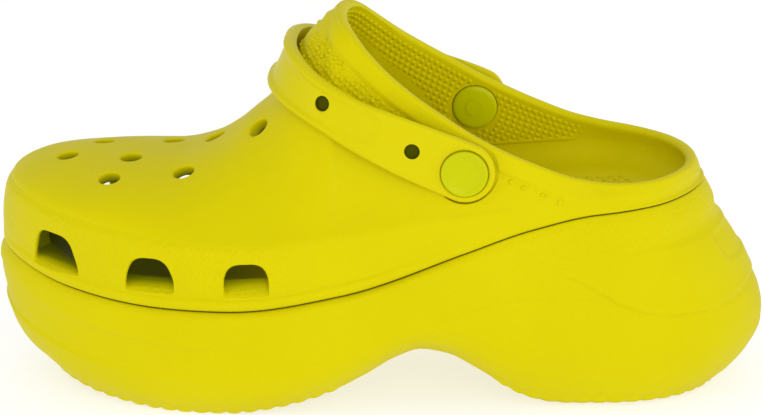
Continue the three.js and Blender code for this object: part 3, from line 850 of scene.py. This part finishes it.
def bow_point(bow, inset):
    """Plan of the bow, a superellipse: reach along the strap and side offset."""
    power = 2 / STRAP_BOW
    level = np.cos(np.radians(bow))
    along = (STRAP_REACH - inset) * np.maximum(np.sin(np.radians(bow)), 0) ** power
    out = -(STRAP_HALF - inset) * np.sign(level) * np.abs(level) ** power
    return along, out


# Holes of the strap: the near one by its distance along the leg, and the line of the far one,
# as distances along the leg and out from the mid plane.
HOLE_LEVEL = -0.5
NEAR_HOLE = 19.7
FAR_HOLE_LINE = ((48.0, 20), (61.0, 52))


def strap_holes(side):
    """Place and outward direction of each round hole on one side of the strap."""
    near = strap_point(NEAR_HOLE, side * STRAP_HALF, HOLE_LEVEL)
    inner, outer = [strap_point(along, side * out, HOLE_LEVEL) for along, out in FAR_HOLE_LINE]
    track = mix(inner, outer, np.linspace(0, 1, 400)[:, None])
    reach = np.abs((track - PIVOT) @ ALONG) / STRAP_REACH
    spread = reach ** STRAP_BOW + np.abs(track[:, 1] / STRAP_HALF) ** STRAP_BOW
    bowed = track[np.argmin(np.abs(spread - 1))]
    return [(near, np.array([0, side, 0])), (bowed, unit(outer - inner))]


def strap_piece():
    turn = np.radians(np.linspace(3, 88, 26))
    bow = np.linspace(0, 180, 151)
    lobe_shift = -LOBE_RADIUS * np.cos(turn)
    lobe_half = LOBE_RADIUS * np.sin(turn)
    bows = np.concatenate([np.zeros(len(turn)), bow, np.full(len(turn), 180.0)])
    shift = np.concatenate([lobe_shift, np.zeros(len(bow)), lobe_shift[::-1]])
    lobe = np.concatenate([lobe_half, np.full(len(bow), np.nan), lobe_half[::-1]])
    half_list = np.array(STRAP_SHARES)
    shares = np.concatenate([-half_list[::-1], half_list[1:]])
    reach = bow_point(bows, 0)[0]
    rows = []

    taller = 1 + INNER_LOBE_GROWTH * (bows > 90) * (1 - smooth(22, 60, reach))
    # The legs are slimmer where they sweep past the collar.
    thick = STRAP_THICK - LEG_RELIEF * smooth(8, 14, reach) * (1 - smooth(26, 36, reach))

    def ring_width(share):
        edge = strap_top(reach) if share > 0 else strap_foot(reach)
        return np.where(np.isnan(lobe), edge, lobe) * (taller if share > 0 else 1)

    def to_edge(share):
        width = ring_width(share) * abs(share)
        round_end = LOBE_RADIUS - np.hypot(shift, width / (taller if share > 0 else 1))
        return np.where(np.isnan(lobe), ring_width(share) - width, round_end)

    def add(share, inset):
        along, out = bow_point(bows, inset)
        rows.append(strap_point(along + shift, out, share * ring_width(share)))

    for share in shares:
        gap = np.maximum(to_edge(share), 0)
        corner = np.clip(1 - gap / 1.4, 0, 1)
        inset = 1.4 * (1 - np.sqrt(1 - corner ** 2))
        bead = strap_bead(reach) * np.exp(-((gap - 1.9) / 1.25) ** 2) * (shift == 0)
        width = share * ring_width(share)
        panel = rounded_box(reach - 42, width, 8.5, 5.6, 5.2)
        dip = 0.45 * (1 - smooth(-0.4, 0.4, panel))
        add(share, inset - bead + dip)
    for share, depth in ((1, 0.75), (0.985, 0.93), (0.93, 1)):
        add(share, thick * depth)
    for share in (0.5, 0, -0.5):
        add(share, thick)
    for share, depth in ((-0.93, 1), (-0.985, 0.93), (-1, 0.75)):
        add(share, thick * depth)
    rings = np.stack(rows, 1)
    count = rings.shape[1]
    points = rings.reshape(-1, 3)
    ends = [rings[0].mean(0), rings[-1].mean(0)]
    points = np.concatenate([points, ends])
    faces = grid_faces(len(rings), count)
    faces += fan_faces(list(range(count)), len(points) - 2)
    last = (len(rings) - 1) * count
    faces += [(b, a, c) for a, b, c in fan_faces([last + k for k in range(count)], len(points) - 1)]
    piece = make_mesh("strap", points, faces)
    cutters = []
    for side in (-1, 1):
        face = PIVOT + [0, side * STRAP_HALF, 0]
        seat = CAP_RADIUS + 0.3
        post = POST_RADIUS + 0.2
        profile = [(0, -6), (post, -6), (post, -0.8), (seat, -0.8), (seat, -0.25),
                   (seat + 0.25, 0.0), (seat + 0.8, 0.3), (seat + 0.8, 3), (0, 3)]
        cutters.append(revolve(profile, face, [0, side, 0], sides=72))
        for place, aim in strap_holes(side):
            cutters.append(flared_hole(place, aim, STRAP_HOLE, 0.4, 9))
    carve(piece, cutters)
    shade(piece, 40)
    return piece


# ---- rivets ------------------------------------------------------------------------------------
def turned_piece(name, profile, side):
    points, faces = revolve(profile, PIVOT, [0, side, 0], sides=72)
    piece = make_mesh(name, points, faces)
    shade(piece, 50)
    return piece


def rivet_cap(side):
    """Outer rivet half: a raised round rim about a shallow dish, with its post."""
    back = STRAP_HALF - 0.6
    rim = STRAP_HALF + 1.25
    profile = [(0, INNER_FACE - 2.6), (POST_RADIUS, INNER_FACE - 2.6), (POST_RADIUS, back),
               (CAP_RADIUS - 0.2, back), (CAP_RADIUS, back + 0.2), (CAP_RADIUS, rim - 0.75),
               (CAP_RADIUS - 0.08, rim - 0.4), (CAP_RADIUS - 0.32, rim - 0.12),
               (CAP_RADIUS - 0.65, rim), (CAP_RADIUS - 1.1, rim - 0.06),
               (CAP_RADIUS - 1.6, rim - 0.26), (CAP_RADIUS - 2.2, rim - 0.52),
               (CAP_RADIUS - 2.9, rim - 0.68), (CAP_RADIUS - 3.8, rim - 0.74), (2, rim - 0.76),
               (0, rim - 0.76)]
    name = "rivet_cap_outer" if side < 0 else "rivet_cap_inner"
    return turned_piece(name, profile, side)


def rivet_washer(side):
    """Inner rivet half, a low crowned disc."""
    base = INNER_FACE - 0.1
    bore = POST_RADIUS + BORE_ROOM
    top = INNER_FACE - 2.3
    profile = [(0, top), (CAP_RADIUS * 0.4, top + 0.05), (CAP_RADIUS * 0.75, top + 0.2),
               (CAP_RADIUS - 0.9, top + 0.38), (CAP_RADIUS - 0.35, top + 0.62),
               (CAP_RADIUS - 0.08, top + 0.95), (CAP_RADIUS, top + 1.3), (CAP_RADIUS, base),
               (bore, base), (bore, base - 0.9), (0, base - 0.9)]
    name = "washer_outer" if side < 0 else "washer_inner"
    return turned_piece(name, profile, side)


def hole_shade_cups():
    """Thin dark cups that line the strap's round holes: painted shade, standing in for the shadow deep in
    the holes.
    """
    deep = STRAP_THICK - LEG_RELIEF - 0.3
    profile = [(0, -deep), (STRAP_HOLE - 0.02, -deep), (STRAP_HOLE - 0.02, -0.9),
               (STRAP_HOLE - 0.16, -0.9), (STRAP_HOLE - 0.16, -deep + 0.2), (0, -deep + 0.2)]
    points = []
    faces = []
    for side in (-1, 1):
        for place, aim in strap_holes(side):
            more, rings = revolve(profile, place, aim, sides=48)
            faces += [tuple(corner + len(points) for corner in face) for face in rings]
            points += list(more)
    piece = make_mesh("strap_hole_shade_cups", points, faces)
    shade(piece, 50)
    return piece


# ---- moulded domes -----------------------------------------------------------------------------
DOME_SIDES = 8
inner_limit = curve((-12, 124), (-3, 117), (1, 111), (7, 105), (13, 98.5), (18, 92), (23, 83),
                    (29, 72), (46, 70), (58, 71), (69, 76), (82, 85))


def add_dome(points, faces, centre, normal, radius, height):
    first, second, along = basis(normal)
    start = len(points)
    for size, level in ((1, -0.25), (0.9, 0.25 * height), (0.55, 0.82 * height)):
        for k in range(DOME_SIDES):
            turn = 2 * math.pi * k / DOME_SIDES
            spoke = math.cos(turn) * first + math.sin(turn) * second
            points.append(centre + radius * size * spoke + level * along)
    points.append(centre + height * along)
    faces += grid_faces(3, DOME_SIDES, first=start)
    ring = [start + 2 * DOME_SIDES + k for k in range(DOME_SIDES)]
    faces += fan_faces(ring, len(points) - 1)
    faces.append(tuple(start + k for k in range(DOME_SIDES)))


def wall_dots(rows, normals, distance, depths, pitch, side):
    """Places on a wall at even steps along lines of equal depth under the rim."""
    ends = (columns.angle == 0) | (columns.rim == 180)
    chosen = np.flatnonzero((columns.side == side) | ends)
    chosen = chosen[np.argsort(columns.angle[chosen], kind="stable")]
    places = []
    for k, depth in enumerate(depths):
        line = []
        facing = []
        for c in chosen:
            down = distance[:, c][::-1]
            if down[0] > depth:
                continue
            at = [np.interp(depth, down, rows[::-1, c, i]) for i in range(3)]
            look = [np.interp(depth, down, normals[::-1, c, i]) for i in range(3)]
            line.append(at)
            facing.append(look)
        line = np.array(line)
        facing = unit(np.array(facing))
        run = np.concatenate([[0], np.cumsum(np.linalg.norm(np.diff(line, axis=0), axis=1))])
        at = np.arange(pitch * (0.25 if k % 2 else 0.75), run[-1], pitch)
        spots = np.stack([np.interp(at, run, line[:, i]) for i in range(3)], 1)
        looks = np.stack([np.interp(at, run, facing[:, i]) for i in range(3)], 1)
        places += list(zip(spots, looks, [k] * len(at)))
    return places


def clear_of_pivot(point, radius):
    return math.hypot(point[0] - PIVOT[0], point[2] - PIVOT[2]) > radius


def collar_domes():
    """Raised domes inside the collar, thinning out towards the smooth heel bowl."""
    pitch = 2.42
    points = []
    faces = []
    distance = rim_distance(grid.inner)
    depths = 2.6 + pitch * math.sqrt(3) / 2 * np.arange(17)
    for side in (-1, 1):
        for spot, look, _ in wall_dots(grid.inner, grid.inner_normals, distance, depths, pitch, side):
            if spot[0] > 82 or not clear_of_pivot(spot, CAP_RADIUS + 1.5):
                continue
            over = spot[2] - float(inner_limit(spot[0]))
            size = float(smooth(-0.5, 3, over) * (1 - smooth(66, 80, spot[0])))
            if size > 0.15:
                add_dome(points, faces, spot, look, 0.98 * (0.6 + 0.4 * size), 0.5 * size)
    piece = make_mesh("collar_domes", points, faces, weld=0.0005)
    shade(piece, 60)
    return piece


def collar_grain():
    """Coarser, uneven domes on the outside of the collar, under its rolled edge."""
    pitch = 2.3
    chance = np.random.default_rng(7)
    points = []
    faces = []
    depths = 7.4 + pitch * math.sqrt(3) / 2 * np.arange(9)
    for side in (-1, 1):
        dots = wall_dots(grid.outer, grid.outer_normals, grid.distance, depths, pitch, side)
        for spot, look, line in dots:
            jitter = chance.uniform(-0.35, 0.35, 3)
            scale = chance.uniform(0.8, 1.15)
            swept = abs(spot[1]) > STRAP_HALF - STRAP_THICK - 0.7 and not clear_of_pivot(spot, 34)
            if spot[0] > 74 or swept or not clear_of_pivot(spot, LOBE_RADIUS + 2.2):
                continue
            fade = float((1 - smooth(52, 72, spot[0])) * (1 - smooth(6.5, 9.5, line)))
            if fade > 0.12:
                add_dome(points, faces, spot + jitter, look, 1.0 * scale * (0.6 + 0.4 * fade),
                         0.5 * scale * fade)
    piece = make_mesh("collar_grain", points, faces, weld=0.0005)
    shade(piece, 60)
    return piece


def heel_nubs():
    """Small nubs of the footbed under the heel."""
    pitch = 4.0
    points = []
    faces = []
    for row in range(-4, 3):
        for step in range(-5, 6):
            x = 80 + pitch * (step + 0.5 * (row % 2))
            y = row * pitch * 0.9 + 4.9
            if ((x - 80) / 15) ** 2 + ((y - 2) / 13) ** 2 < 1:
                spot = np.array([x, y, float(floor_height(x))])
                add_dome(points, faces, spot, [0, 0, 1], 0.95, 1.1)
    piece = make_mesh("heel_nubs", points, faces, weld=0.0005)
    shade(piece, 60)
    return piece


sole = sole_piece()
pads = tread_pads()
seam_strip = seam_shade_strip()
strap = strap_piece()
cups = hole_shade_cups()
caps = [rivet_cap(side) for side in (-1, 1)]
washers = [rivet_washer(side) for side in (-1, 1)]
domes = collar_domes()
outer_grain = collar_grain()
nubs = heel_nubs()


# ---- materials ---------------------------------------------------------------------------------
# Painted shade of the closed toe's inside and of its vents, darker than the foam itself.
INSIDE = (0.15, 0.18, 0.0)


def moulded(name, colour, deep, roughness, gloss, grain=0.0, skin=1.0):
    """Moulded foam or plastic: uneven colour, fine skin, and grain where the mesh asks for it."""
    material = bpy.data.materials.new(name)
    material.use_nodes = True
    nodes = material.node_tree.nodes
    links = material.node_tree.links
    finish = nodes["Principled BSDF"]
    place = nodes.new("ShaderNodeTexCoord").outputs["Object"]

    def noise(scale, detail=3.0):
        node = nodes.new("ShaderNodeTexNoise")
        node.inputs["Scale"].default_value = scale
        node.inputs["Detail"].default_value = detail
        node.inputs["Roughness"].default_value = 0.55
        links.new(place, node.inputs["Vector"])
        return node.outputs["Fac"]

    def maths(operation, a, b):
        node = nodes.new("ShaderNodeMath")
        node.operation = operation
        for socket, value in zip(node.inputs, (a, b)):
            if isinstance(value, (int, float)):
                socket.default_value = value
            else:
                links.new(value, socket)
        return node.outputs[0]

    def spread(value, low, high):
        node = nodes.new("ShaderNodeMapRange")
        node.inputs["From Min"].default_value = 0.3
        node.inputs["From Max"].default_value = 0.7
        node.inputs["To Min"].default_value = low
        node.inputs["To Max"].default_value = high
        links.new(value, node.inputs["Value"])
        return node.outputs[0]

    cloud = noise(22)
    speck = noise(900, 2.0)
    tint = nodes.new("ShaderNodeMix")
    tint.data_type = "RGBA"
    tint.inputs["A"].default_value = (*colour, 1)
    tint.inputs["B"].default_value = (*deep, 1)
    links.new(maths("ADD", spread(cloud, 0.0, 0.45), spread(speck, 0.0, 0.25)),
              tint.inputs["Factor"])
    # Painted shade: where the inside attribute is set, the colour is darkened towards INSIDE.
    inside = nodes.new("ShaderNodeAttribute")
    inside.attribute_name = "inside"
    shadow = nodes.new("ShaderNodeMix")
    shadow.data_type = "RGBA"
    shadow.inputs["B"].default_value = (*INSIDE, 1)
    links.new(tint.outputs["Result"], shadow.inputs["A"])
    links.new(inside.outputs["Fac"], shadow.inputs["Factor"])
    links.new(shadow.outputs["Result"], finish.inputs["Base Color"])
    links.new(spread(noise(60), roughness - 0.05, roughness + 0.06), finish.inputs["Roughness"])
    finish.inputs["Specular IOR Level"].default_value = gloss
    finish.inputs["Specular Tint"].default_value = (1, 0.93, 0.3, 1)
    finish.inputs["IOR"].default_value = 1.38
    height = maths("MULTIPLY", noise(1400, 2.0), 0.3 * skin)
    height = maths("ADD", height, maths("MULTIPLY", noise(260), 0.6 * skin))
    if grain:
        mask = nodes.new("ShaderNodeAttribute")
        mask.attribute_name = "grain"
        cells = nodes.new("ShaderNodeTexVoronoi")
        cells.feature = "SMOOTH_F1"
        cells.inputs["Scale"].default_value = 640
        cells.inputs["Smoothness"].default_value = 0.5
        links.new(place, cells.inputs["Vector"])
        pebble = maths("SUBTRACT", 1.0, cells.outputs["Distance"])
        height = maths("ADD", height, maths("MULTIPLY", maths("MULTIPLY", pebble, grain),
                                            mask.outputs["Fac"]))
    bump = nodes.new("ShaderNodeBump")
    bump.inputs["Strength"].default_value = 0.5
    bump.inputs["Distance"].default_value = 0.00022
    links.new(height, bump.inputs["Height"])
    links.new(bump.outputs["Normal"], finish.inputs["Normal"])
    return material


YELLOW = (0.64, 0.56, 0.0)
YELLOW_DEEP = (0.585, 0.51, 0.0)
upper_foam = moulded("upper_foam", YELLOW, YELLOW_DEEP, 0.5, grain=3.5, gloss=0.2)
sole_foam = moulded("sole_foam", YELLOW, YELLOW_DEEP, 0.55, grain=2.5, gloss=0.2)
strap_foam = moulded("strap_foam", YELLOW, YELLOW_DEEP, 0.44, skin=0.6, gloss=0.34)
rivet_plastic = moulded("rivet_plastic", (0.53, 0.55, 0.0), (0.48, 0.5, 0.0), 0.22, skin=0.15,
                        gloss=0.4)

# Painted shade: this near-black colour of the strap hole cups stands in for the shadow inside the holes.
hole_shade = moulded("hole_shade", (0.065, 0.068, 0.0), (0.05, 0.055, 0.0), 0.7, gloss=0.1)
# Painted shade: this near-black colour of the seam strip stands in for the shadow in the gap between upper
# and sole.
seam_shade = moulded("seam_shade", (0.10, 0.09, 0.0), (0.07, 0.06, 0.0), 0.6, gloss=0.2)


def grain_mask():
    """The pebbled band of the upper: between the rolled foot of the band and its crease."""
    point = positions(upper)
    angle = angle_at(point[:, 0])
    above = point[:, 2] - seam_height(angle)
    below = band_height(angle) - point[:, 2]
    outline = half_width(angle) * np.sin(np.radians(angle))
    depth = outline - np.abs(point[:, 1] - lean(angle))
    zone = smooth(5.2, 6.2, above) * smooth(0.4, 1.4, below)
    return zone * (1 - smooth(70, 92, angle)) * (1 - smooth(0.2, 1.2, depth) * (angle > 28))


def inside_mask():
    """Marks the inside of the closed toe, and the depths of its vents, as shaded."""
    point = positions(upper)
    skin = np.concatenate([grid.band.reshape(-1, 3), grid.outer.reshape(-1, 3)])
    deep = distances(point, skin)
    return 0.85 * smooth(1.3, 3.7, deep) * (1 - smooth(-62, -14, point[:, 0]))


paint(upper, "grain", grain_mask())
paint(upper, "inside", inside_mask())

# ---- stage -------------------------------------------------------------------------------------
AZIMUTH = math.radians(4.5)
ELEVATION = math.radians(18)
ROLL = math.radians(-1.5)
EYE_DISTANCE = 1200
TARGET = np.array([1.3, 0, 63])
FOCAL_PIXELS = 3312
IMAGE_WIDTH = 763


def camera():
    data = bpy.data.cameras.new("camera")
    data.sensor_width = 36
    data.sensor_fit = "HORIZONTAL"
    data.lens = FOCAL_PIXELS / IMAGE_WIDTH * data.sensor_width
    data.clip_end = 20
    back = Vector((math.sin(AZIMUTH) * math.cos(ELEVATION),
                   -math.cos(AZIMUTH) * math.cos(ELEVATION), math.sin(ELEVATION)))
    right = Vector((math.cos(AZIMUTH), math.sin(AZIMUTH), 0))
    up = back.cross(right)
    turn = Matrix((right, up, back)).transposed() @ Matrix.Rotation(ROLL, 3, "Z")
    eye = Vector(TARGET * MM) + back * (EYE_DISTANCE * MM)
    seen = bpy.data.objects.new("camera", data)
    seen.matrix_world = Matrix.Translation(eye) @ turn.to_4x4()
    bpy.context.scene.collection.objects.link(seen)
    bpy.context.scene.camera = seen


def softbox(name, place, aim, size, power):
    data = bpy.data.lights.new(name, "AREA")
    data.shape = "SQUARE"
    data.size = size
    data.energy = power
    lamp = bpy.data.objects.new(name, data)
    lamp.location = place
    lamp.rotation_euler = (Vector(aim) - Vector(place)).to_track_quat("-Z", "Y").to_euler()
    bpy.context.scene.collection.objects.link(lamp)


def stage():
    scene = bpy.context.scene
    world = bpy.data.worlds.new("studio")
    world.use_nodes = True
    ambient = world.node_tree.nodes["Background"]
    ambient.inputs["Color"].default_value = (1, 1, 1, 1)
    ambient.inputs["Strength"].default_value = 0.75
    scene.world = world
    scene.view_settings.view_transform = "Standard"
    softbox("key", (0.5, -1.9, 0.75), (0, 0, 0.05), 1.3, 12)
    softbox("left", (-1.7, -0.9, 0.5), (0, 0, 0.06), 1.0, 5)
    softbox("right", (1.8, -0.7, 0.5), (0, 0, 0.06), 1.0, 5)
    mesh = bpy.data.meshes.new("floor")
    half = 6
    mesh.from_pydata([(-half, -half, 0), (half, -half, 0), (half, half, 0), (-half, half, 0)], [],
                     [(0, 1, 2, 3)])
    floor = bpy.data.objects.new("floor", mesh)
    scene.collection.objects.link(floor)
    pale = bpy.data.materials.new("floor_white")
    pale.use_nodes = True
    finish = pale.node_tree.nodes["Principled BSDF"]
    finish.inputs["Base Color"].default_value = (0.45, 0.45, 0.45, 1)
    finish.inputs["Roughness"].default_value = 0.8
    finish.inputs["Emission Color"].default_value = (1, 1, 1, 1)
    finish.inputs["Emission Strength"].default_value = 0.62
    mesh.materials.append(pale)


camera()
stage()

# ---- riding ------------------------------------------------------------------------------------
def attach(piece, body, slot, material, *nodes):
    piece.data.materials.clear()
    piece.data.materials.append(material)
    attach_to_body(piece, body)
    if nodes:
        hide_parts(*nodes)


attach(upper, "clog", "upper_foam", upper_foam, "clog_shell")
attach(sole, "clog", "sole_foam", sole_foam, "platform_sole")
attach(strap, "strap", "strap_foam", strap_foam, "heel_strap")
for piece in (domes, outer_grain, nubs):
    attach(piece, "clog", "upper_foam", upper_foam)
attach(pads, "clog", "sole_foam", sole_foam)
attach(cups, "strap", "strap_foam", hole_shade)
attach(seam_strip, "clog", "sole_foam", seam_shade)
for halves, kind in ((caps, "cap"), (washers, "washer")):
    for piece, place in zip(halves, ("lateral", "medial")):
        attach(piece, "clog", "rivet_plastic", rivet_plastic, f"rivet_{kind}_{place}")
